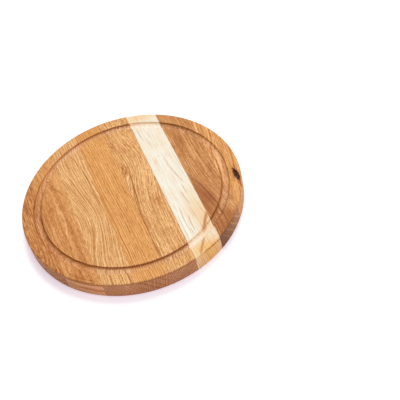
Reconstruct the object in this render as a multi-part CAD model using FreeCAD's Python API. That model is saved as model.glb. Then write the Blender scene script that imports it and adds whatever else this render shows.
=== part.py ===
"""Round chopping block, glued up edge to edge from oak staves.

Millimetres. The origin is the centre of the underside and +Z is up. The grain
runs along Y, so the staves stand side by side along X.
"""
import FreeCAD
import Part
import math
import os

# Round board
board_diameter = 300.0
board_thickness = 25.0
edge_round = 2.0

# Glued-up panel that the board is cut from
stave_width = 39.35
glue_thickness = 0.15

# Juice groove, run by a round-nosed cutter inside the plain land at the rim
rim_land = 15.5
cutter_radius = 6.0
groove_depth = 4.5
lip_round = 0.5

# Open knot in the land, a pointed pocket that lies along the grain
knot_length = 27.5
knot_width = 7.0
knot_inset = 6.6
knot_angle = -16.2

# Chords on each round stretch of the section, each within a tenth of a millimetre of its arc
edge_steps = 3
lip_steps = 1
cove_steps = 8
knot_steps = 8

# How far a cutting slab stands past the board
overrun = 5.0

# Places that follow from the sizes above
board_radius = board_diameter / 2
flat_radius = board_radius - edge_round
stave_pitch = stave_width + glue_thickness
stave_count = math.ceil((board_diameter + glue_thickness) / stave_pitch)
panel_width = stave_count * stave_pitch - glue_thickness
lip_height = board_thickness - lip_round
cutter_height = board_thickness - groove_depth + cutter_radius
lip_drop = cutter_height - lip_height
lip_reach = cutter_radius + lip_round
groove_half_width = math.sqrt(lip_reach ** 2 - lip_drop ** 2)
groove_radius = board_radius - rim_land - groove_half_width
wall_angle = math.degrees(math.asin(lip_drop / lip_reach))
knot_radius = board_radius - knot_inset
knot_bow = (knot_length ** 2 + knot_width ** 2) / (4 * knot_width)
knot_sweep = math.degrees(math.asin(knot_length / (2 * knot_bow)))

full_turn = 360
quarter_turn = 90
origin = FreeCAD.Vector(0, 0, 0)
up = FreeCAD.Vector(0, 0, 1)
across_grain = FreeCAD.Vector(1, 0, 0)


def at(radius, height):
    """A point of the board's section, which lies in the plane through its axis."""
    return FreeCAD.Vector(radius, 0, height)


def arc_points(centre, radius, first, last, steps):
    """Points along an arc in the section's plane, from one direction to another in degrees."""
    turns = [math.radians(first + (last - first) * step / steps) for step in range(steps + 1)]
    return [centre + at(radius * math.cos(turn), radius * math.sin(turn)) for turn in turns]


def rim_points():
    """The eased bottom edge and the eased top edge, with the upright rim between them."""
    low_edge = arc_points(at(flat_radius, edge_round), edge_round, -90, 0, edge_steps)
    high_edge = arc_points(at(flat_radius, board_thickness - edge_round), edge_round, 0, 90, edge_steps)
    return low_edge + high_edge


def groove_points():
    """The juice groove from the rim inwards: an eased lip, the cutter's cove and the other lip."""
    outer_centre = at(groove_radius + groove_half_width, lip_height)
    inner_centre = at(groove_radius - groove_half_width, lip_height)
    cutter_centre = at(groove_radius, cutter_height)
    outer_lip = arc_points(outer_centre, lip_round, 90, 180 - wall_angle, lip_steps)
    cove = arc_points(cutter_centre, cutter_radius, -wall_angle, wall_angle - 180, cove_steps)
    inner_lip = arc_points(inner_centre, lip_round, wall_angle, 90, lip_steps)
    return outer_lip + cove[1:-1] + inner_lip


def board_section():
    """Half the board's section, from the axis out along the underside and back along the top."""
    outline = [at(0, 0)] + rim_points() + groove_points() + [at(0, board_thickness), at(0, 0)]
    return Part.Face(Part.makePolygon(outline))


def knot_pocket():
    """A spindle half sunk in the land along the grain: an arc turned about its own chord."""
    tip = at(0, knot_length / 2)
    bulge = arc_points(at(knot_width / 2 - knot_bow, 0), knot_bow, -knot_sweep, knot_sweep, knot_steps)
    outline = Part.makePolygon([-tip] + bulge[1:-1] + [tip, -tip])
    spindle = Part.Face(outline).revolve(origin, up, full_turn)
    spindle.rotate(origin, across_grain, quarter_turn)
    turn = math.radians(knot_angle)
    place = FreeCAD.Vector(knot_radius * math.cos(turn), knot_radius * math.sin(turn), board_thickness)
    spindle.translate(place)
    return spindle


def round_board():
    """The whole board, turned from its section, with the knot's pocket cut out of the land."""
    turned = board_section().revolve(origin, up, full_turn)
    return turned.cut(knot_pocket())


def slab(left, width):
    """An upright slab along the grain that passes right through the board."""
    corner = FreeCAD.Vector(left, -board_radius - overrun, -overrun)
    return Part.makeBox(width, board_diameter + 2 * overrun, board_thickness + 2 * overrun, corner)


def save(piece, name):
    """Write one piece under its own name."""
    piece.exportStep(f"parts/{name}.step")


def stave_names():
    """The staves from left to right, with the two that the rim cuts to a segment at the ends."""
    inner = [f"stave_{number}" for number in range(2, stave_count)]
    return ["left_rim_stave"] + inner + ["right_rim_stave"]


def main():
    """Divide the round board into its staves and the glue lines between them."""
    os.makedirs("parts", exist_ok=True)
    board = round_board()
    left = -panel_width / 2
    for number, name in enumerate(stave_names(), start=1):
        save(board.common(slab(left, stave_width)), name)
        if number < stave_count:
            save(board.common(slab(left + stave_width, glue_thickness)), f"glue_line_{number}")
        left += stave_pitch


main()
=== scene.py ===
"""Looks of a round oak chopping block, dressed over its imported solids.

Metres, in the frame of the solids: the origin is the centre of the underside, +Z is up and the
grain runs along Y. The finishes are written in millimetres on the same axes.
"""
import logging
import math
from dataclasses import dataclass, field
from enum import Enum
from typing import NamedTuple, Union

import bmesh
import bpy
from mathutils import Color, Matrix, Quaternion, Vector
from mathutils import noise as ragged


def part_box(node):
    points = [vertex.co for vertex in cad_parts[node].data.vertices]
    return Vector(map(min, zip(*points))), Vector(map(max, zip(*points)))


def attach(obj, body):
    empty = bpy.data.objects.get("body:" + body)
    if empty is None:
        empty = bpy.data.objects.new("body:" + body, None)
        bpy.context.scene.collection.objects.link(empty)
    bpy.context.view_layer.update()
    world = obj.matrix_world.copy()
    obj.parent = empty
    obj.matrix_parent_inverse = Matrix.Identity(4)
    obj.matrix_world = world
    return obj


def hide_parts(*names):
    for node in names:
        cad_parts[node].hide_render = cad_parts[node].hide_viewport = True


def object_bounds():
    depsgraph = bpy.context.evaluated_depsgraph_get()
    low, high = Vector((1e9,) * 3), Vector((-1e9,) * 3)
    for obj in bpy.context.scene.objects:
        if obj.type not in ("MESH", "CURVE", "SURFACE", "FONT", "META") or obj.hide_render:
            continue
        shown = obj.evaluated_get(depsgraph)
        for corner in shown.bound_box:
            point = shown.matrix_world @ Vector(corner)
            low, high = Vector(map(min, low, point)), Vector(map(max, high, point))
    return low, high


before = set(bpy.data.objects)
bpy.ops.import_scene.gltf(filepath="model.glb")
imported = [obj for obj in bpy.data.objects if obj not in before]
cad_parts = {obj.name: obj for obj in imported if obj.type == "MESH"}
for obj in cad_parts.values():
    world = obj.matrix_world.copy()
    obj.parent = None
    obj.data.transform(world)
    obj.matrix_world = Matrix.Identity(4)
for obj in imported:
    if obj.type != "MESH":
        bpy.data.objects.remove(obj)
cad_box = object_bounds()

log = logging.getLogger("chopping_block")

MM = 0.001
BODY = "root"
SCREEN_LEVELS = 255
BRIGHTEST = 0.97
NOISE_MIDDLE = 0.5
CREASE_ANGLE = math.radians(32)
MERGE_GAP = MM / 1000
CUT_GAP = MM / 10000

Span = tuple[float, float]
Point = tuple[float, float]


class Colour(NamedTuple):
    """A colour in linear light."""

    red: float
    green: float
    blue: float

    @classmethod
    def shown(cls, red: int, green: int, blue: int) -> "Colour":
        """The colour that a screen shows as these levels, each from 0 to 255."""
        screen = Color([level / SCREEN_LEVELS for level in (red, green, blue)])
        return cls(*screen.from_srgb_to_scene_linear())

    def deepened(self, depth: float, pull: tuple[float, float, float]) -> "Colour":
        """The colour darkened as wood darkens, each channel by its own pull, or paler below nothing."""
        return Colour(*(min(share * math.exp(-depth * by), BRIGHTEST) for share, by in zip(self, pull)))

    def opaque(self) -> tuple[float, float, float, float]:
        """The colour as a shader's socket takes it."""
        return (*self, 1.0)


WHITE = Colour(1.0, 1.0, 1.0)


class Wire:
    """A value that runs through a tree of nodes. Sums of wires become Math nodes."""

    def __init__(self, sketch: "Sketch", socket: bpy.types.NodeSocket) -> None:
        """Hold the output socket that the value comes from."""
        self.sketch = sketch
        self.socket = socket

    def __add__(self, other: "Term") -> "Wire":
        """This value plus another."""
        return self.sketch.math("ADD", self, other)

    __radd__ = __add__

    def __sub__(self, other: "Term") -> "Wire":
        """This value less another."""
        return self.sketch.math("SUBTRACT", self, other)

    def __rsub__(self, other: "Term") -> "Wire":
        """Another value less this one."""
        return self.sketch.math("SUBTRACT", other, self)

    def __mul__(self, other: "Term") -> "Wire":
        """This value times another."""
        return self.sketch.math("MULTIPLY", self, other)

    __rmul__ = __mul__

    def __truediv__(self, other: "Term") -> "Wire":
        """This value divided by another."""
        return self.sketch.math("DIVIDE", self, other)

    def __abs__(self) -> "Wire":
        """This value without its sign."""
        return self.sketch.math("ABSOLUTE", self)

    def bell(self) -> "Wire":
        """One at zero, falling to nothing on both sides by about two."""
        return self.sketch.math("EXPONENT", self * self * -1.0)

    def most(self, other: "Wire") -> "Wire":
        """The greater of this value and another."""
        return self.sketch.math("MAXIMUM", self, other)

    def span(self, source: Span, target: Span, kind: str = "LINEAR") -> "Wire":
        """This value carried from one range to another, held at the ends."""
        inputs = dict(enumerate((self, *source, *target)))
        return self.sketch.wire("ShaderNodeMapRange", inputs, interpolation_type=kind, clamp=True)

    def step(self, low: float, high: float) -> "Wire":
        """A smooth step from nothing at the low value to one at the high value."""
        return self.span((low, high), (0.0, 1.0), "SMOOTHSTEP")

    def between(self, low: float, high: float, fade: float) -> "Wire":
        """One between two values and nothing past them, with soft ends."""
        return self.step(low - fade, low + fade) * (1.0 - self.step(high - fade, high + fade))


Term = Union[Wire, float]
Tint = Union[Wire, Colour]


class Place(NamedTuple):
    """A point of the block in millimetres, or a direction, a wire for each axis."""

    x: Wire
    y: Wire
    z: Wire

    def radius(self) -> Wire:
        """How far the point lies from the block's axis."""
        return self.x.sketch.math("SQRT", self.x * self.x + self.y * self.y)


class Ray(Enum):
    """The paths of light that show a surface: straight, reflected and through glass."""

    CAMERA = "Is Camera Ray"
    GLOSSY = "Is Glossy Ray"
    THROUGH = "Is Transmission Ray"


class Sketch:
    """The nodes of a material or of the sky, with a short method for each kind that is used."""

    # A Mix node's colour sockets, by number because its other kinds of value share their names
    MIX_BELOW = 6
    MIX_ABOVE = 7
    MIX_RESULT = 2

    def __init__(self, owner: Union[bpy.types.Material, bpy.types.World]) -> None:
        """Clear the owner's nodes.

        Args:
            owner: The material or the sky that the nodes belong to.
        """
        owner.use_nodes = True
        self.owner = owner
        self.tree = owner.node_tree
        self.tree.nodes.clear()

    def node(self, kind: str, inputs: dict, **settings: object) -> bpy.types.Node:
        """Add a node.

        Args:
            kind: Blender's name of the node's type.
            inputs: Wires or constants, by the socket's name or number.
            settings: The node's own settings.

        Returns:
            The node.
        """
        made = self.tree.nodes.new(kind)
        for name, value in settings.items():
            setattr(made, name, value)
        for key, value in inputs.items():
            if isinstance(value, Wire):
                self.tree.links.new(value.socket, made.inputs[key])
            else:
                made.inputs[key].default_value = value
        return made

    def wire(self, kind: str, inputs: dict, output: Union[str, int] = 0, **settings: object) -> Wire:
        """Add a node and take one of its outputs, by name or number."""
        return Wire(self, self.node(kind, inputs, **settings).outputs[output])

    def math(self, operation: str, *terms: Term) -> Wire:
        """One sum, as a Math node."""
        return self.wire("ShaderNodeMath", dict(enumerate(terms)), operation=operation)

    def split(self, vector: Wire) -> Place:
        """The three parts of a vector."""
        parts = self.node("ShaderNodeSeparateXYZ", {0: vector})
        return Place(*(Wire(self, socket) for socket in parts.outputs))

    def place(self) -> Place:
        """The point that is shaded, in millimetres."""
        inputs = {0: self.wire("ShaderNodeTexCoord", {}, "Object"), "Scale": 1 / MM}
        return self.split(self.wire("ShaderNodeVectorMath", inputs, operation="SCALE"))

    def facing(self) -> Place:
        """The direction that the surface faces, of length one."""
        return self.split(self.wire("ShaderNodeTexCoord", {}, "Normal"))

    def rays(self, *kinds: Ray) -> Wire:
        """Tell the light that shows a surface from the light that it throws on others.

        Args:
            kinds: The paths of light that count.

        Returns:
            One for those paths, nothing for the rest.
        """
        path = self.node("ShaderNodeLightPath", {})
        found, *others = (Wire(self, path.outputs[kind.value]) for kind in kinds)
        for other in others:
            found = found.most(other)
        return found

    def noise(self, kind: str, where: dict, detail: float, roughness: float) -> Wire:
        """Noise within about a half of zero, with features about one unit across and finer layers."""
        inputs = {**where, "Scale": 1.0, "Detail": detail, "Roughness": roughness}
        return self.wire("ShaderNodeTexNoise", inputs, noise_dimensions=kind) - NOISE_MIDDLE

    def clouds(self, x: Term, y: Term, z: Term, detail: float, roughness: float = 0.5) -> Wire:
        """Noise at a point."""
        point = self.wire("ShaderNodeCombineXYZ", {0: x, 1: y, 2: z})
        return self.noise("3D", {"Vector": point}, detail, roughness)

    def bands(self, along: Term, detail: float = 2.0, roughness: float = 0.5) -> Wire:
        """Noise along one line."""
        return self.noise("1D", {"W": along}, detail, roughness)

    def ramp(self, share: Term, stops: list[tuple[float, Colour]]) -> Wire:
        """Read a colour off a scale of colours.

        Args:
            share: Where to read, from 0 to 1.
            stops: Places on the scale and their colours.

        Returns:
            The colour.
        """
        made = self.node("ShaderNodeValToRGB", {0: share})
        elements = made.color_ramp.elements
        while len(elements) < len(stops):
            elements.new(1.0)
        for element, (place, colour) in zip(elements, stops):
            element.position = place
            element.color = colour.opaque()
        return Wire(self, made.outputs[0])

    def mix(self, share: Term, below: Tint, above: Tint, how: str = "MIX") -> Wire:
        """Lay one colour over another.

        Args:
            share: How much of the upper colour.
            below: The colour below.
            above: The colour on top.
            how: Blender's name of the way they combine.

        Returns:
            The colour that shows.
        """
        first, second = (tint if isinstance(tint, Wire) else tint.opaque() for tint in (below, above))
        inputs = {0: share, self.MIX_BELOW: first, self.MIX_ABOVE: second}
        return self.wire("ShaderNodeMix", inputs, self.MIX_RESULT, data_type="RGBA", blend_type=how)

    def surface(self, colour: Wire, roughness: Term, height: Wire, relief: float,
                gloss: float) -> bpy.types.Material:
        """Finish the material as a surface.

        Args:
            colour: What it reflects.
            roughness: How matt it is.
            height: Its fine relief, from 0 to 1.
            relief: How deep that relief is, in millimetres.
            gloss: The specular level.

        Returns:
            The material.
        """
        bump = self.wire("ShaderNodeBump", {"Height": height, "Distance": relief * MM})
        shader = self.wire("ShaderNodeBsdfPrincipled", {
            "Base Color": colour, "Roughness": roughness, "Specular IOR Level": gloss, "Normal": bump})
        self.node("ShaderNodeOutputMaterial", {"Surface": shader})
        return self.owner


class Sawing(Enum):
    """How a stave was sawn from the log: its growth rings' angle to its face, in degrees."""

    FLAT = 14.0
    RIFT = 48.0
    QUARTER = 78.0


@dataclass(frozen=True)
class Bow:
    """A stretch where the grain swings aside and back: left and right give an x and the swing there."""

    crown: float
    reach: float
    left: Point
    right: Point

    def shift(self, place: Place) -> Wire:
        """How far the grain is moved sideways at a place."""
        swing = place.x.span((self.left[0], self.right[0]), (self.left[1], self.right[1]))
        return swing * ((place.y - self.crown) / self.reach).bell()


@dataclass(frozen=True)
class Swirl:
    """A pin knot that the grain flows round, in millimetres."""

    x: float
    y: float
    width: float
    length: float
    push: float

    def shift(self, place: Place) -> Wire:
        """How far the grain is moved sideways at a place."""
        aside, along = place.x - self.x, place.y - self.y
        return aside * ((aside / self.width).bell() * (along / self.length).bell()) * self.push


@dataclass(frozen=True)
class Stroke:
    """A dark or pale line in the figure, a smooth curve through three points, in millimetres."""

    start: Point
    middle: Point
    end: Point
    width: float
    strength: float
    fade_share: float = 0.25

    def mark(self, place: Place, jitter: Wire) -> Wire:
        """How much the line shows at a place.

        Args:
            place: The point that is shaded.
            jitter: A small sideways wander, so that the line isn't ruled.

        Returns:
            The line's strength there, or nothing away from it.
        """
        (xa, ya), (xb, yb), (xc, yc) = self.start, self.middle, self.end
        slope = (xb - xa) / (yb - ya)
        curve = ((xc - xb) / (yc - yb) - slope) / (yc - ya)
        line = xa + (place.y - ya) * (slope + curve * (place.y - yb))
        aside = (place.x + jitter - line) / self.width
        low, high = min(ya, yc), max(ya, yc)
        shown = place.y.between(low, high, (high - low) * self.fade_share)
        return aside.bell() * shown * self.strength


@dataclass(frozen=True)
class Stain:
    """A soft patch of deeper or paler wood, in millimetres."""

    x: float
    y: float
    width: float
    length: float
    strength: float

    def mark(self, place: Place, jitter: Wire) -> Wire:
        """How much the patch shows at a place."""
        aside, along = (place.x + jitter - self.x) / self.width, (place.y - self.y) / self.length
        return aside.bell() * along.bell() * self.strength


@dataclass(frozen=True)
class Vein:
    """A growth ring in the end grain, straight between two points across and up, in millimetres."""

    start: Point
    end: Point
    width: float
    strength: float
    fade_share: float = 0.1

    def mark(self, place: Place, jitter: Wire) -> Wire:
        """How much the ring shows at a place.

        Args:
            place: The point that is shaded.
            jitter: A small sideways wander.

        Returns:
            The ring's strength there, or nothing away from it.
        """
        (xa, za), (xb, zb) = self.start, self.end
        length = math.hypot(xb - xa, zb - za)
        across, up = (xb - xa) / length, (zb - za) / length
        aside, above = place.x + jitter - xa, place.z - za
        off = (aside * up - above * across) / self.width
        along = (aside * across + above * up) / length
        return off.bell() * along.between(0.0, 1.0, self.fade_share) * self.strength


Warp = Union[Bow, Swirl]
Mark = Union[Stroke, Stain]


@dataclass(frozen=True)
class Streaks:
    """Noise drawn out along the grain, by the width and length of its features in millimetres."""

    width: float
    length: float
    detail: float = 1.0
    roughness: float = 0.5

    def show(self, across: Wire, place: Place, seed: float = 0.0) -> Wire:
        """The noise at a place, taken across the bent grain and moved on by a seed."""
        side, along = across / self.width + seed, place.y / self.length + seed
        return across.sketch.clouds(side, along, place.z / self.width, self.detail, self.roughness)


@dataclass(frozen=True)
class GrooveShade:
    """Painted light in a groove: painted shade on its two steep walls and painted sheen on its floor.

    Lengths are in millimetres. A span says where a tone begins and is full.
    """

    inner_wall_shade: Colour = Colour(0.50, 0.39, 0.30)
    outer_wall_shade: Colour = Colour(0.60, 0.51, 0.46)
    # Painted sheen: the groove's floor shown paler and bluer.
    floor: Colour = Colour(0.96, 1.04, 1.37)
    radius: float = 128.3
    blend: float = 1.0
    reach: float = 136.0
    reach_blend: float = 0.5
    depth: float = 4.6
    below_face: Span = (0.3, 1.4)
    above_floor: Span = (-0.3, 0.0)
    inner_facing: Span = (0.35, 0.95)
    outer_facing: Span = (0.3, 0.75)
    floor_facing: Span = (0.6, 0.85)

    def show(self, place: Place, facing: Place, colour: Wire, top: float) -> Wire:
        """Lay the groove's painted shade and sheen over a wood.

        Args:
            place: The point that is shaded.
            facing: The direction that the surface faces.
            colour: The wood's colour.
            top: The height of the face that the groove is cut in.

        Returns:
            The colour with the groove's tones.
        """
        radius = place.radius()
        inside = 1.0 - radius.step(self.reach - self.reach_blend, self.reach + self.reach_blend)
        below = (top - place.z).step(*self.below_face)
        sunk = inside * below * (place.z - (top - self.depth)).step(*self.above_floor)
        outside = radius.step(self.radius - self.blend, self.radius + self.blend)
        # Painted shade on the steep walls, each wall its own tone, and painted sheen on the flat floor.
        inner = sunk * (1.0 - outside) * (1.0 - facing.z.step(*self.inner_facing))
        outer = sunk * outside * (1.0 - facing.z.step(*self.outer_facing))
        flat = sunk * facing.z.step(*self.floor_facing)
        for share, tone in ((inner, self.inner_wall_shade), (outer, self.outer_wall_shade), (flat, self.floor)):
            colour = colour.sketch.mix(share, colour, tone, how="MULTIPLY")
        return colour


class Growth(NamedTuple):
    """The growth rings at a place: broad bands, the porous early wood in each year, and rays."""

    bands: Wire
    early: Wire
    rays: Wire


@dataclass(frozen=True)
class OakFinish:
    """Oiled oak: growth rings about a pith, fibres, vessels, pores, rays and darker end grain.

    Lengths are in millimetres. A depth is how much darker the wood is than its face colour, and the
    strengths say how much each feature adds to it. A span says where a feature begins and is full.
    """

    name: str
    slot: str
    face: Colour
    seed: float
    sawing: Sawing
    pith_side: float = 1.0
    pith_distance: float = 120.0
    ring_pitch: float = 2.6
    lean: float = 0.0
    wander: float = 6.0
    sway: float = 1.8
    warps: tuple[Warp, ...] = ()
    figure: tuple[Mark, ...] = ()
    patches: tuple[Mark, ...] = ()
    veins: tuple[Vein, ...] = ()

    ring_strength: float = 0.8
    line_strength: float = 0.12
    fibre_strength: float = 0.8
    vessel_strength: float = 0.3
    tick_strength: float = 1.0
    grit_strength: float = 0.6
    pore_strength: float = 0.7
    cloud_strength: float = 0.3
    curl_strength: float = 0.0
    fade_strength: float = 2.0
    end_bands: float = 0.3
    end_lines: float = 0.3
    end_rays: float = 0.22
    # Painted shade: how dark a band just under the rim's top edge is, on the end grain.
    rim_shade: float = 0.25

    drift: Streaks = Streaks(60.0, 95.0)
    ripple: Streaks = Streaks(9.0, 30.0)
    fade: Streaks = Streaks(20.0, 32.0)
    fibres: Streaks = Streaks(1.25, 45.0, detail=2.0, roughness=0.6)
    vessels: Streaks = Streaks(2.8, 60.0)
    ticks: Streaks = Streaks(0.8, 8.0)
    grit: Streaks = Streaks(0.95, 2.4)
    pores: Streaks = Streaks(0.8, 4.5)
    clouds: Streaks = Streaks(26.0, 48.0, detail=2.0)
    curls: Streaks = Streaks(11.0, 7.0, detail=2.0)

    bands_per_ring: float = 0.9
    year_rate: float = 0.31
    year_wander: float = 1.6
    early_start: Span = (0.0, 0.14)
    early_stop: Span = (0.22, 0.7)
    early_mean: float = 0.35
    ray_pitch: float = 1.7
    ray_edge: Span = (0.08, 0.26)
    vessel_edge: float = 15.0
    vessel_mean: float = 0.45
    pore_edge: Span = (0.06, 0.2)
    late_pores: float = 0.5

    face_facing: Span = (0.1, 0.6)
    rim_facing: Span = (0.2, 0.7)
    rim_skin: Span = (3.0, 1.0)
    end_facing: Span = (0.45, 0.98)
    low_edge: Span = (1.5, 3.0)
    low_facing: Span = (-0.99, -0.93)
    # Where that painted shade band sits below the face, and how tall it is.
    rim_shade_drop: float = 2.0
    rim_shade_height: float = 1.5

    pull: tuple[float, float, float] = (0.62, 1.05, 1.75)
    palest: float = -0.5
    deepest: float = 1.3
    tone_steps: int = 9
    patch_tone: Colour = Colour(0.95, 0.61, 0.22)
    end_tone: Colour = Colour(0.78, 0.64, 0.79)
    # Painted shade and sheen in the groove.
    groove: GrooveShade = GrooveShade()

    matt: float = 0.56
    matt_fibres: float = 0.2
    matt_pores: float = 0.12
    gloss: float = 0.3
    relief: float = 0.02
    relief_level: float = 0.6
    relief_pores: float = 0.5
    relief_early: float = 0.15
    relief_fibres: float = 0.5

    def tones(self) -> list[tuple[float, Colour]]:
        """The wood's colours.

        Returns:
            Shares from 0 to 1 with their colours, from palest to deepest.
        """
        reach = self.deepest - self.palest
        shares = [step / self.tone_steps for step in range(self.tone_steps + 1)]
        return [(share, self.face.deepened(self.palest + reach * share, self.pull)) for share in shares]

    def grow(self, across: Wire, place: Place, centre: float, top: float) -> Growth:
        """Lay the growth rings about the log's pith.

        Args:
            across: The place across the bent grain.
            place: The point that is shaded.
            centre: The stave's middle across the grain.
            top: The height of its face.

        Returns:
            The rings' parts at the place.
        """
        sketch = across.sketch
        tilt = math.radians(self.sawing.value)
        aside = across - (centre + self.pith_side * self.pith_distance * math.sin(tilt))
        above = place.z - (top - self.pith_distance * math.cos(tilt))
        ring = sketch.math("SQRT", aside * aside + above * above) / self.ring_pitch
        swell = 1.0 + self.fade.show(place.x, place, self.seed) * self.fade_strength
        bands = sketch.bands(ring * self.bands_per_ring + self.seed, roughness=0.6) * swell
        uneven = sketch.bands(ring * self.year_rate + self.seed) * self.year_wander
        year = sketch.math("FRACT", ring + uneven)
        early = year.step(*self.early_start) * (1.0 - year.step(*self.early_stop))
        round_pith = sketch.math("ARCTAN2", above, aside) * (self.pith_distance / self.ray_pitch)
        rays = sketch.bands(round_pith + self.seed, detail=1.0).step(*self.ray_edge)
        return Growth(bands, early - self.early_mean, rays)

    def dress(self, centre: float, top: float, rim: float) -> bpy.types.Material:
        """Make the finish for one stave.

        Args:
            centre: The stave's middle across the grain.
            top: The height of its face.
            rim: The radius of the board's rim.

        Returns:
            The material.
        """
        sketch = Sketch(bpy.data.materials.new(self.name))
        place = sketch.place()
        facing = sketch.facing()

        def streaks(kind: Streaks, across: Wire) -> Wire:
            """One kind of streaks of this stave."""
            return kind.show(across, place, self.seed)

        jitter = streaks(self.ripple, place.x) * self.sway
        across = place.x + self.lean * place.y + streaks(self.drift, place.x) * self.wander + jitter
        for warp in self.warps:
            across = across - warp.shift(place)
        growth = self.grow(across, place, centre, top)

        fibres = streaks(self.fibres, across)
        vessels = (streaks(self.vessels, across) * self.vessel_edge).bell() - self.vessel_mean
        pores = streaks(self.pores, across).step(*self.pore_edge)
        depth = growth.bands * self.ring_strength + growth.early * self.line_strength
        depth += fibres * self.fibre_strength + vessels * self.vessel_strength
        depth += streaks(self.ticks, across) * self.tick_strength
        depth += streaks(self.grit, across) * self.grit_strength
        depth += pores * (growth.early + self.late_pores) * self.pore_strength
        depth += streaks(self.clouds, place.x) * self.cloud_strength
        depth += streaks(self.curls, across) * self.curl_strength
        on_top = facing.z.step(*self.face_facing)
        for mark in self.figure:
            depth += mark.mark(place, jitter) * on_top

        end = self.end_grain(place, facing)
        rings = growth.bands * self.end_bands + growth.early * self.end_lines
        depth += end * (rings - growth.rays * self.end_rays)
        # Painted shade in a band just under the rim's top edge.
        depth += end * ((place.z - (top - self.rim_shade_drop)) / self.rim_shade_height).bell() * self.rim_shade
        at_rim = place.radius().step(*(rim - inset for inset in self.rim_skin))
        on_rim = at_rim * (1.0 - facing.z.step(*self.rim_facing))
        for vein in self.veins:
            depth += vein.mark(place, jitter) * on_rim

        share = depth.span((self.palest, self.deepest), (0.0, 1.0))
        colour = sketch.ramp(share, self.tones())
        for patch in self.patches:
            colour = sketch.mix(patch.mark(place, jitter), colour, self.patch_tone, how="MULTIPLY")
        colour = sketch.mix(end, colour, self.end_tone, how="MULTIPLY")
        colour = self.groove.show(place, facing, colour, top)
        roughness = self.matt + fibres * self.matt_fibres + pores * self.matt_pores
        height = self.relief_level - pores * self.relief_pores - growth.early * self.relief_early
        height += fibres * self.relief_fibres
        return sketch.surface(colour, roughness, height, self.relief, self.gloss)

    def end_grain(self, place: Place, facing: Place) -> Wire:
        """How far a place shows the wood's end: on the rim's ends, down to its eased lower edge.

        Args:
            place: The point that is shaded.
            facing: The direction that the surface faces.

        Returns:
            One on the end grain, nothing on the long grain.
        """
        upright = abs(facing.y).step(*self.end_facing)
        endwise = (abs(place.y) / place.radius()).step(*self.end_facing)
        low = endwise * (1.0 - place.z.step(*self.low_edge))
        return upright.most(low * facing.z.step(*self.low_facing))


@dataclass(frozen=True)
class GlueFinish:
    """Cured wood glue, seen as a thin amber line, in millimetres."""

    name: str = "cured_glue"
    slot: str = "glue"
    pale: Colour = Colour.shown(205, 146, 88)
    deep: Colour = Colour.shown(150, 92, 48)
    pale_share: float = 0.3
    deep_share: float = 0.7
    cloud_length: float = 9.0
    cloud_height: float = 3.0
    matt: float = 0.45
    matt_clouds: float = 0.2
    gloss: float = 0.4
    relief: float = 0.04

    def dress(self) -> bpy.types.Material:
        """Make the finish.

        Returns:
            The material.
        """
        sketch = Sketch(bpy.data.materials.new(self.name))
        x, y, z = sketch.place()
        film = sketch.clouds(x, y / self.cloud_length, z / self.cloud_height, detail=3.0)
        level = film + NOISE_MIDDLE
        colour = sketch.ramp(level, [(self.pale_share, self.pale), (self.deep_share, self.deep)])
        return sketch.surface(colour, self.matt + film * self.matt_clouds, level, self.relief, self.gloss)


@dataclass(frozen=True)
class BarkFinish:
    """The crumbly dark lining of an open knot, with a painted grey highlight on its upward-facing floor.
    """

    name: str = "knot_bark"
    dark: Colour = Colour.shown(46, 22, 16)
    brown: Colour = Colour.shown(108, 62, 44)
    glint_grey: Colour = Colour.shown(150, 116, 118)
    dark_share: float = 0.35
    brown_share: float = 0.68
    crumbs: Streaks = Streaks(0.90909, 1.81818, detail=4.0, roughness=0.65)
    glint_noise: Streaks = Streaks(2.5, 6.0, detail=2.0)
    glint_edge: Span = (-0.05, 0.2)
    floor_facing: Span = (0.55, 0.95)
    matt: float = 0.8
    matt_glint: float = 0.2
    gloss: float = 0.2
    relief: float = 0.6

    def dress(self) -> bpy.types.Material:
        """Make the finish.

        Returns:
            The material.
        """
        sketch = Sketch(bpy.data.materials.new(self.name))
        place = sketch.place()
        crumbs = self.crumbs.show(place.x, place)
        glint_noise = self.glint_noise.show(place.x, place)
        floor = sketch.facing().z.step(*self.floor_facing)
        level = crumbs + NOISE_MIDDLE
        colour = sketch.ramp(level, [(self.dark_share, self.dark), (self.brown_share, self.brown)])
        # Painted highlight: grey spots on the pocket's upward-facing floor.
        colour = sketch.mix(floor * glint_noise.step(*self.glint_edge), colour, self.glint_grey)
        return sketch.surface(colour, self.matt + glint_noise * self.matt_glint, level, self.relief, self.gloss)


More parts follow.
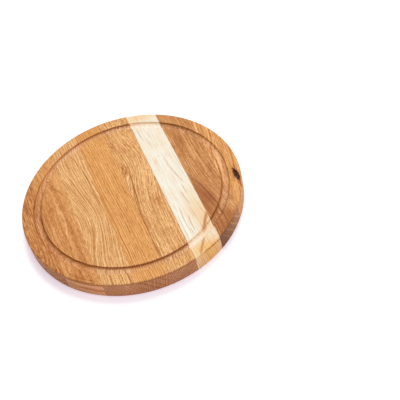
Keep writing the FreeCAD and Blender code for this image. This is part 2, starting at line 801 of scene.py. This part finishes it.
@dataclass
class TurnedBoard:
    """The whole round board as one closed shape, which the staves and glue lines are cut from."""

    radius: float
    thickness: float
    edge_round: float = 0.0020
    rim_land: float = 0.0155
    cutter_radius: float = 0.0060
    groove_depth: float = 0.0045
    lip_round: float = 0.0005
    edge_steps: int = 6
    lip_steps: int = 4
    cove_steps: int = 18
    turn_steps: int = 360
    mesh: bmesh.types.BMesh = field(init=False)

    def __post_init__(self) -> None:
        """Turn the section about the board's axis and close the two flats."""
        self.mesh = bmesh.new()
        points = [self.mesh.verts.new(point) for point in self.section()]
        edges = [self.mesh.edges.new(pair) for pair in zip(points, points[1:])]
        bmesh.ops.spin(self.mesh, geom=points + edges, cent=Vector(), axis=Vector((0, 0, 1)),
                       angle=math.tau, steps=self.turn_steps, use_merge=True)
        bmesh.ops.remove_doubles(self.mesh, verts=self.mesh.verts, dist=MERGE_GAP)
        bmesh.ops.holes_fill(self.mesh, edges=self.mesh.edges)
        bmesh.ops.recalc_face_normals(self.mesh, faces=self.mesh.faces)

    @staticmethod
    def arc(centre: Point, radius: float, sweep: Span, steps: int) -> list[Vector]:
        """Points along an arc of the section.

        Args:
            centre: The arc's centre, by its distance from the axis and its height.
            radius: The arc's own radius.
            sweep: The directions of its first and last points, in degrees from straight out.
            steps: How many chords it has.

        Returns:
            The points, both ends among them.
        """
        middle = Vector((centre[0], 0, centre[1]))
        first, last = sweep
        turns = (math.radians(first + (last - first) * step / steps) for step in range(steps + 1))
        return [middle + radius * Vector((math.cos(turn), 0, math.sin(turn))) for turn in turns]

    def section(self) -> list[Vector]:
        """The section from the cutting face's edge, through the groove, round the rim to the underside.

        Returns:
            Its points, in the plane through the board's axis.
        """
        lip_height = self.thickness - self.lip_round
        cutter_height = self.thickness - self.groove_depth + self.cutter_radius
        lip_drop = cutter_height - lip_height
        lip_reach = self.cutter_radius + self.lip_round
        half = math.sqrt(lip_reach ** 2 - lip_drop ** 2)
        groove = self.radius - self.rim_land - half
        wall = math.degrees(math.asin(lip_drop / lip_reach))
        edge = self.radius - self.edge_round
        high = self.thickness - self.edge_round
        inner_lip = self.arc((groove - half, lip_height), self.lip_round, (90, wall), self.lip_steps)
        cove = self.arc((groove, cutter_height), self.cutter_radius, (wall - 180, -wall), self.cove_steps)
        outer_lip = self.arc((groove + half, lip_height), self.lip_round, (180 - wall, 90), self.lip_steps)
        top_edge = self.arc((edge, high), self.edge_round, (90, 0), self.edge_steps)
        low_edge = self.arc((edge, self.edge_round), self.edge_round, (0, -90), self.edge_steps)
        return inner_lip + cove[1:-1] + outer_lip + top_edge + low_edge

    def slice(self, left: float, right: float) -> bmesh.types.BMesh:
        """Cut an upright slice out of the board along the grain.

        Args:
            left: The slice's left face across the grain.
            right: Its right face.

        Returns:
            The slice, closed.
        """
        piece = self.mesh.copy()
        for place, side in ((left, -1.0), (right, 1.0)):
            parts = piece.verts[:] + piece.edges[:] + piece.faces[:]
            bmesh.ops.bisect_plane(piece, geom=parts, dist=CUT_GAP, plane_co=Vector((place, 0, 0)),
                                   plane_no=Vector((side, 0, 0)), clear_outer=True)
            bmesh.ops.holes_fill(piece, edges=piece.edges)
        bmesh.ops.recalc_face_normals(piece, faces=piece.faces)
        return piece


@dataclass
class Knot:
    """The open knot in the rim, a ragged pocket lined with bark."""

    x: float = 137.7 * MM
    y: float = -40.0 * MM
    length: float = 27.5 * MM
    width: float = 7.0 * MM
    depth: float = 3.5 * MM
    taper: float = 0.45
    raggedness: float = 0.9 * MM
    grit: float = 3.2 * MM
    grit_start: tuple[float, float, float] = (3.1, 0.7, 5.3)
    tip_power: int = 6
    seed: int = 5
    steps: int = 5

    def cutter(self, top: float) -> bpy.types.Object:
        """Make the ragged spindle that is cut out of the wood.

        Args:
            top: The height of the land that it opens in.

        Returns:
            The spindle, with its bark finish.
        """
        shape = bmesh.new()
        bmesh.ops.create_icosphere(shape, subdivisions=self.steps, radius=1.0)
        ragged.seed_set(self.seed)
        for vert in shape.verts:
            slim = 1.0 - self.taper * abs(vert.co.y)
            spindle = Vector((vert.co.x * self.width / 2 * slim, vert.co.y * self.length / 2,
                              vert.co.z * self.depth * slim))
            rough = ragged.noise_vector(spindle / self.grit + Vector(self.grit_start))
            vert.co = spindle + rough * self.raggedness * (1.0 - vert.co.y ** self.tip_power)
        bmesh.ops.translate(shape, verts=shape.verts, vec=Vector((self.x, self.y, top)))
        bmesh.ops.recalc_face_normals(shape, faces=shape.faces)
        return new_piece("knot_cutter", shape, BarkFinish().dress())

    def open_in(self, wood: bpy.types.Object, top: float) -> None:
        """Cut the pocket out of a stave and line it with bark.

        Args:
            wood: The stave.
            top: The height of its land.
        """
        cutter = self.cutter(top)
        cut = wood.modifiers.new("open_knot", "BOOLEAN")
        cut.operation = "DIFFERENCE"
        cut.solver = "EXACT"
        cut.material_mode = "TRANSFER"
        cut.object = cutter
        depsgraph = bpy.context.evaluated_depsgraph_get()
        whole = wood.data
        wood.data = bpy.data.meshes.new_from_object(wood.evaluated_get(depsgraph))
        wood.data.name = wood.name
        wood.modifiers.clear()
        bpy.data.meshes.remove(whole)
        bpy.data.objects.remove(cutter)


def new_piece(name: str, shape: bmesh.types.BMesh, material: bpy.types.Material) -> bpy.types.Object:
    """Turn a finished shape into an object in the scene.

    Args:
        name: The piece's name.
        shape: Its mesh in the making, which is used up.
        material: Its finish.

    Returns:
        The object.
    """
    for face in shape.faces:
        face.smooth = True
    for edge in shape.edges:
        edge.smooth = edge.calc_face_angle(0.0) < CREASE_ANGLE
    mesh = bpy.data.meshes.new(name)
    shape.to_mesh(mesh)
    shape.free()
    mesh.materials.append(material)
    piece = bpy.data.objects.new(name, mesh)
    bpy.context.scene.collection.objects.link(piece)
    return piece


def settle(piece: bpy.types.Object, node: str) -> None:
    """Let a piece stand for its solid, ride on the body and shade its flats evenly.

    Args:
        piece: The piece.
        node: The solid that it stands for.
    """
    even = piece.modifiers.new("even_flats", "WEIGHTED_NORMAL")
    even.keep_sharp = True
    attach(piece, BODY)
    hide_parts(node)
    log.info("%s stands for %s with %d faces", piece.name, node, len(piece.data.polygons))


@dataclass
class Panel:
    """The glued-up panel: the staves and the glue lines between them, cut from the turned board."""

    finishes: dict[str, OakFinish]
    glue: GlueFinish = GlueFinish()
    knot_stave: str = "right_rim_stave"

    def build(self) -> None:
        """Cut, dress and settle every stave and glue line."""
        _, high = cad_box
        board = TurnedBoard(radius=high.x, thickness=high.z)
        for node, finish in self.finishes.items():
            left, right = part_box(node)
            material = finish.dress((left.x + right.x) / 2 / MM, high.z / MM, high.x / MM)
            wood = new_piece(f"{node}_wood", board.slice(left.x, right.x), material)
            if node == self.knot_stave:
                Knot().open_in(wood, high.z)
            settle(wood, node)
        cured = self.glue.dress()
        for node in sorted(set(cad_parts) - set(self.finishes)):
            left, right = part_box(node)
            film = new_piece(f"{node}_film", board.slice(left.x, right.x), cured)
            settle(film, node)
        board.mesh.free()


def towards(azimuth: float, elevation: float) -> Vector:
    """The direction at two angles, round the block's axis and above the floor, in degrees."""
    turn, rise = math.radians(azimuth), math.radians(elevation)
    return Vector((math.cos(turn) * math.cos(rise), math.sin(turn) * math.cos(rise), math.sin(rise)))


@dataclass(frozen=True)
class Lamp:
    """A square soft light that faces the block's foot, placed by its direction from there."""

    name: str
    azimuth: float
    elevation: float
    distance: float
    size: float
    power: float

    def hang(self) -> None:
        """Put the light in the scene."""
        data = bpy.data.lights.new(self.name, "AREA")
        data.energy = self.power
        data.size = self.size
        way = towards(self.azimuth, self.elevation)
        lamp = bpy.data.objects.new(self.name, data)
        lamp.location = way * self.distance
        lamp.rotation_mode = "QUATERNION"
        lamp.rotation_quaternion = way.to_track_quat("Z", "Y")
        bpy.context.scene.collection.objects.link(lamp)


@dataclass
class Studio:
    """A white floor and sky, three soft lights and the camera at the photograph's angle."""

    aim: Vector = field(default_factory=lambda: Vector((0.07865, -0.05836, 0.025)))
    camera_distance: float = 1.17326
    look_azimuth: float = 79.97
    look_elevation: float = -48.10
    roll: float = -14.49
    lens: float = 81.0
    sky: float = 0.14
    lamps: tuple[Lamp, ...] = (
        Lamp("key_light", azimuth=61.0, elevation=63.0, distance=3.4, size=1.2, power=53.5),
        Lamp("top_light", azimuth=-60.0, elevation=84.0, distance=2.4, size=2.6, power=25.0),
        Lamp("fill_light", azimuth=-42.0, elevation=24.0, distance=3.0, size=1.6, power=18.0),
    )
    floor_size: float = 12.0
    floor_colour: Colour = Colour(0.62, 0.80, 0.72)
    floor_bounce: Colour = Colour(0.9, 0.9, 0.9)
    floor_glow: Colour = Colour(0.55, 0.41, 0.51)
    glow_fade: Span = (400.0, 1600.0)

    def build(self) -> None:
        """Set the stage, the light and the camera."""
        self.lay_floor()
        for lamp in self.lamps:
            lamp.hang()
        self.light_sky()
        self.place_camera()
        bpy.context.scene.view_settings.view_transform = "Standard"

    def lay_floor(self) -> None:
        """A wide floor at the block's foot, white to the camera but for the block's shadow."""
        shape = bmesh.new()
        bmesh.ops.create_grid(shape, x_segments=1, y_segments=1, size=self.floor_size / 2)
        sketch = Sketch(bpy.data.materials.new("studio_floor"))
        tint = sketch.mix(sketch.rays(Ray.CAMERA), self.floor_bounce, self.floor_colour)
        paper = sketch.wire("ShaderNodeBsdfDiffuse", {"Color": tint})
        away = sketch.place().radius().step(*self.glow_fade)
        light = sketch.mix(away, self.floor_glow, WHITE)
        glow = sketch.wire("ShaderNodeEmission", {"Color": light, "Strength": sketch.rays(*Ray)})
        both = sketch.wire("ShaderNodeAddShader", {0: paper, 1: glow})
        sketch.node("ShaderNodeOutputMaterial", {"Surface": both})
        floor = new_piece("studio_floor", shape, sketch.owner)

    def light_sky(self) -> None:
        """Even light from all round, which the camera and reflections see as white."""
        sketch = Sketch(bpy.data.worlds.new("studio_sky"))
        level = sketch.rays(*Ray).span((0.0, 1.0), (self.sky, 1.0))
        light = sketch.wire("ShaderNodeBackground", {"Color": WHITE.opaque(), "Strength": level})
        sketch.node("ShaderNodeOutputWorld", {"Surface": light})
        bpy.context.scene.world = sketch.owner

    def place_camera(self) -> None:
        """The camera, aimed and rolled so that the block sits in the frame as photographed."""
        look = towards(self.look_azimuth, self.look_elevation)
        data = bpy.data.cameras.new("camera")
        data.lens = self.lens
        camera = bpy.data.objects.new("camera", data)
        camera.location = self.aim - look * self.camera_distance
        camera.rotation_mode = "QUATERNION"
        rolled = Quaternion((0, 0, 1), math.radians(self.roll))
        camera.rotation_quaternion = look.to_track_quat("-Z", "Y") @ rolled
        bpy.context.scene.collection.objects.link(camera)
        bpy.context.scene.camera = camera


def stave_finishes() -> dict[str, OakFinish]:
    """Give each stave its own oak.

    Returns:
        The finishes by their nodes' names, from left to right.
    """
    return {
        "left_rim_stave": OakFinish(
            "oak_left_rim", "oak_brown", Colour.shown(197, 127, 64), seed=11.3, sawing=Sawing.RIFT,
            ring_pitch=3.0, ring_strength=1.2, fibre_strength=1.0, tick_strength=2.2,
            ticks=Streaks(1.1, 9.0), pore_strength=0.8,
            figure=(
                Stain(-142, -6, 4, 26, -0.15), Stain(-138, 40, 4, 18, 0.2), Stain(-140, -58, 6, 18, 0.15),
                # The pale stroke along the groove's middle, at radius 128, is a painted highlight.
                Stroke((-122.4, 38), (-127.7, 12), (-126.6, -20), 1.1, -0.65))),
        "stave_2": OakFinish(
            "oak_two", "oak_amber", Colour.shown(215, 147, 81), seed=23.9, sawing=Sawing.FLAT,
            ring_pitch=2.4, ring_strength=0.5, curl_strength=0.2, lean=0.04, wander=9.0,
            fibre_strength=0.5, tick_strength=1.5, vessel_strength=0.15, vessels=Streaks(2.2, 40.0),
            grit_strength=0.7, line_strength=0.2, end_tone=Colour(1.48, 1.45, 2.15),
            veins=(
                Vein((-126, 23.2), (-72, 22.4), 2.2, 0.5), Vein((-126, 18.5), (-72, 17.0), 2.4, -0.3),
                Vein((-106, 12.4), (-72, 11.0), 1.8, 0.5), Vein((-126, 7.0), (-72, 6.0), 2.2, -0.2)),
            figure=(
                Stain(-105, 25, 1.6, 4, 0.6), Stain(-92, 21, 1.4, 6, 0.5), Stain(-81, -45, 4, 18, 0.3),
                Stain(-115, 12, 5, 26, 0.3), Stain(-96, 20, 5, 11, -0.22), Stain(-96, -92, 8, 18, 0.28),
                Stain(-96, 100, 8, 14, -0.2), Stain(-90, -106, 3, 8, -0.3), Stain(-104, -104, 8, 8, 0.25),
                Stroke((-112, -90), (-100, -106), (-86, -117), 1.2, 0.5),
                Stroke((-94.8, 18), (-94.3, 2), (-95.2, -14), 0.9, -0.4),
                Stroke((-96, -16), (-97, -22), (-98, -29), 1.0, -0.4),
                Stroke((-97, 64), (-91, 56), (-84, 40), 1.4, 0.45),
                Stroke((-112, 58), (-104, 61), (-97, 54.5), 1.2, 0.4))),
        "stave_3": OakFinish(
            "oak_three", "oak_gold", Colour.shown(230, 171, 106), seed=37.1, sawing=Sawing.RIFT,
            ring_strength=0.85, line_strength=0.3, wander=4.0, tick_strength=0.7,
            grit_strength=0.8, end_tone=Colour(0.88, 0.70, 0.83), end_bands=-0.4, end_lines=-0.2,
            warps=(Bow(crown=-18, reach=58, left=(-79, 23), right=(-44, 11)),),
            figure=(
                Stain(-72, -28, 6, 18, 0.22), Stroke((-46, -118), (-45, -130), (-44, -144), 1.2, 0.8),
                Stroke((-71, 74), (-63.5, 40), (-59.5, 12), 1.0, 0.45),
                Stroke((-75, 60), (-69, 34), (-63, 0), 0.9, 0.4),
                Stroke((-55, 108), (-46.5, 56), (-44.5, 10), 0.9, 0.45),
                Stroke((-62, -36), (-70, -64), (-77, -87), 1.0, 0.3),
                Stroke((-62, -26), (-66, -46), (-73, -76), 3.2, 0.22),
                Stroke((-57, -30), (-62.5, -49), (-74.7, -82), 1.3, -0.35))),
        "stave_4": OakFinish(
            "oak_four", "oak_honey", Colour.shown(225, 157, 84), seed=41.7, sawing=Sawing.QUARTER,
            ring_pitch=2.8, ring_strength=0.3, line_strength=0.32, lean=0.045, wander=3.0,
            tick_strength=0.7, fibre_strength=0.65, vessel_strength=0.2, cloud_strength=0.1,
            grit_strength=0.45, end_tone=Colour(0.83, 0.74, 1.08), end_lines=0.1,
            veins=(
                Vein((-38, 27), (-9, -2), 0.9, 0.6), Vein((-28, 27), (-2, 0), 0.8, 0.45),
                Vein((-15, 26), (4, 7), 0.8, 0.5), Vein((-44, 20), (-22, -2), 0.8, 0.4)),
            figure=(
                Stroke((-38.5, 30), (-35, -30), (-33.5, -118), 0.8, 0.6),
                Stroke((-36.5, 10), (-34, -30), (-32.2, -110), 0.7, -0.4),
                Stroke((-21, 75), (-19, 45), (-17, 15), 0.7, -0.45))),
        "stave_5": OakFinish(
            "oak_five", "oak_amber", Colour.shown(227, 166, 100), seed=53.3, sawing=Sawing.RIFT,
            ring_pitch=2.4, line_strength=0.3, wander=4.0, tick_strength=1.6,
            vessel_strength=0.35, vessels=Streaks(2.2, 40.0), grit_strength=1.0,
            warps=(Bow(crown=58, reach=55, left=(0, 14), right=(39, 14)), Swirl(5, 37, 9, 16, 0.7)),
            figure=(
                Stain(4, 38, 5, 8, 0.25), Stain(28, -30, 9, 14, 0.26), Stain(16, 78, 9, 5, 0.25),
                Stain(27, 30, 9, 18, -0.22), Stain(4, -62, 4, 14, 0.25), Stain(20, -85, 6, 14, 0.18),
                Stroke((2, 52), (5.5, 43), (2.5, 33), 0.8, 0.7),
                Stroke((6, 54), (8.5, 45), (6.2, 36), 0.8, 0.6),
                Stroke((0.6, 44), (2.2, 38), (0.8, 31), 0.8, 0.6),
                Stroke((10.5, 46), (8, 15), (1.2, -42), 0.55, 1.3),
                Stroke((7, 10), (4, -6), (0, -24), 0.5, 0.9),
                Stroke((17, 35), (13, 8), (8, -20), 0.5, 0.7),
                Stroke((1.2, -25), (0.8, -58), (1.0, -94), 0.8, 1.0),
                Stroke((0.5, -86), (1, -104), (2.2, -122), 0.8, 1.2),
                Stroke((2.5, 132), (3.5, 110), (6, 84), 1.5, 0.5))),
        "stave_6": OakFinish(
            "oak_six", "oak_sapwood", Colour.shown(255, 236, 213), seed=61.9, sawing=Sawing.QUARTER,
            ring_pitch=2.4, ring_strength=0.15, line_strength=0.05, lean=0.05, wander=4.0,
            fibre_strength=0.65, vessel_strength=0.22, vessels=Streaks(2.2, 60.0), vessel_edge=24.0,
            tick_strength=0.15, grit_strength=0.25, pore_strength=0.12, cloud_strength=0.28,
            pull=(0.72, 0.98, 1.3), palest=-0.2,
            pith_side=-1.0, end_tone=Colour(1.13, 0.97, 0.84), end_bands=0.6, end_lines=0.4,
            # A fainter painted shade under the rim's top edge, and fainter painted shade and sheen in the
            # groove.
            rim_shade=0.1, groove=GrooveShade(
                inner_wall_shade=Colour(0.97, 0.90, 0.76), outer_wall_shade=Colour(0.98, 0.86, 0.70),
                floor=Colour(1.0, 0.97, 0.98)),
            veins=(Vein((52, 24.6), (80, 20.6), 1.1, 0.9), Vein((56, 22), (59.5, 1), 0.8, 0.4)),
            warps=(Bow(crown=-90, reach=80, left=(40, -6), right=(78, 8)),),
            patches=(
                Stain(72, -78, 15, 38, 0.55), Stain(61, -135.5, 38, 15, 0.92),
                # The patch at y 134 is partly the far end's own warmer tone and partly painted shade over
                # the far groove.
                Stain(58, 134, 30, 12, 0.65), Stain(73, 84, 10, 26, 0.24),
                Stain(50, 36, 2.5, 10, 0.25), Stain(51, -23, 2.5, 11, 0.25),
                Stroke((65, -106), (71.5, -95.5), (81, -79), 4.5, 0.6),
                Stroke((48, -141), (54.5, -130), (62, -117), 2.6, 0.3)),
            figure=(
                Stroke((66, -105), (70.5, -97), (79, -82), 2.2, 0.85),
                Stroke((49, -140), (54.5, -130), (61, -118), 1.8, 0.65),
                Stroke((64.2, 18), (66.2, 3), (69, -14), 0.5, 0.8),
                Stroke((66.9, -22), (67.2, -30), (67.9, -38), 0.5, 0.6),
                Stroke((62.3, -33), (62.9, -44), (65, -57), 0.5, 0.8),
                Stroke((44.4, 114), (45.4, 100), (47, 82), 0.5, 0.5),
                Stroke((43.6, -66), (43.4, -86), (43.8, -108), 0.45, 0.6),
                Stroke((49.2, -60), (48.6, -80), (49.8, -106), 0.5, 0.85),
                Stroke((52.4, -84), (51.8, -96), (52.6, -110), 0.45, 0.6),
                Stroke((55.6, -78), (55.0, -90), (55.6, -102), 0.45, 0.55),
                Stain(48, -85, 6, 26, -0.25))),
        "stave_7": OakFinish(
            "oak_seven", "oak_brown", Colour.shown(204, 139, 77), seed=73.1, sawing=Sawing.RIFT,
            ring_pitch=3.0, ring_strength=0.7, line_strength=0.16, grit_strength=0.8, cloud_strength=0.4,
            # Its very dark end tone is partly darker end grain and partly painted shade, as if the rim lay
            # in shadow.
            vessel_strength=0.4, end_tone=Colour(0.20, 0.105, 0.07), end_lines=-0.1,
            veins=(
                Vein((90, 26), (103, 3), 0.9, -0.8), Vein((98, 27), (111, 2), 0.9, -1.0),
                Vein((107, 26), (120, 1), 0.8, -0.9), Vein((83, 24), (95, 2), 0.8, -0.6)),
            warps=(Bow(crown=-110, reach=75, left=(79, 16), right=(118, 16)),),
            figure=(
                Stroke((86.5, -24), (93, -52), (98, -102), 1.0, 1.2),
                # The wide pale stroke along the groove's middle, at radius 128, is painted sheen.
                Stroke((84, -97), (100, -80), (115, -57), 6.0, -0.25),
                Stroke((105, 75), (108, 10), (113.5, -48), 0.8, 0.7),
                Stroke((94, 65), (96.5, 10), (103, -50), 0.8, 0.5),
                Stain(85, -36, 7, 16, 0.7), Stain(92, -58, 7, 18, 0.5), Stain(84, -64, 7, 22, 0.45),
                Stain(98, -116, 30, 30, 0.65), Stain(115, -84, 4, 10, -0.5), Stain(105, -96, 2.5, 7, 0.4),
                Stain(90, 52, 6, 36, 0.35), Stain(101, 38, 5, 22, -0.25),
                Stroke((97.4, -92), (97.7, -101), (97.4, -110), 0.8, 0.5),
                Stroke((90.5, -100), (90.8, -109), (90.5, -118), 0.8, 0.4),
                Stroke((84, -103), (83.6, -112), (83, -122), 0.9, 0.4),
                Stroke((94, -96), (94, -106), (93.6, -116), 1.6, -0.35))),
        "right_rim_stave": OakFinish(
            "oak_right_rim", "oak_gold", Colour.shown(220, 153, 84), seed=83.7, sawing=Sawing.RIFT,
            ring_strength=1.4, lean=-0.2,
            figure=(
                Stain(137.7, -40, 4.2, 14, 0.8), Stroke((138, -50), (137, -57), (135.8, -64), 0.9, 2.0),
                # The pale strokes that run in the groove, from x 119 to 131, are painted sheen.
                Stroke((131, 14), (126.5, -10), (121.5, -32), 1.2, -0.4), Stain(141, -62, 7, 14, -0.2),
                Stroke((129, 10), (126, -25), (119, -48), 5.0, -0.15),
                Stroke((123.5, 46), (129.5, 23), (131.5, -4), 1.5, -0.35))),
    }


def main() -> None:
    """Build the panel, then the studio round it."""
    logging.basicConfig(level=logging.INFO, format="%(message)s")
    Panel(stave_finishes()).build()
    Studio().build()


if __name__ == "__main__":
    main()
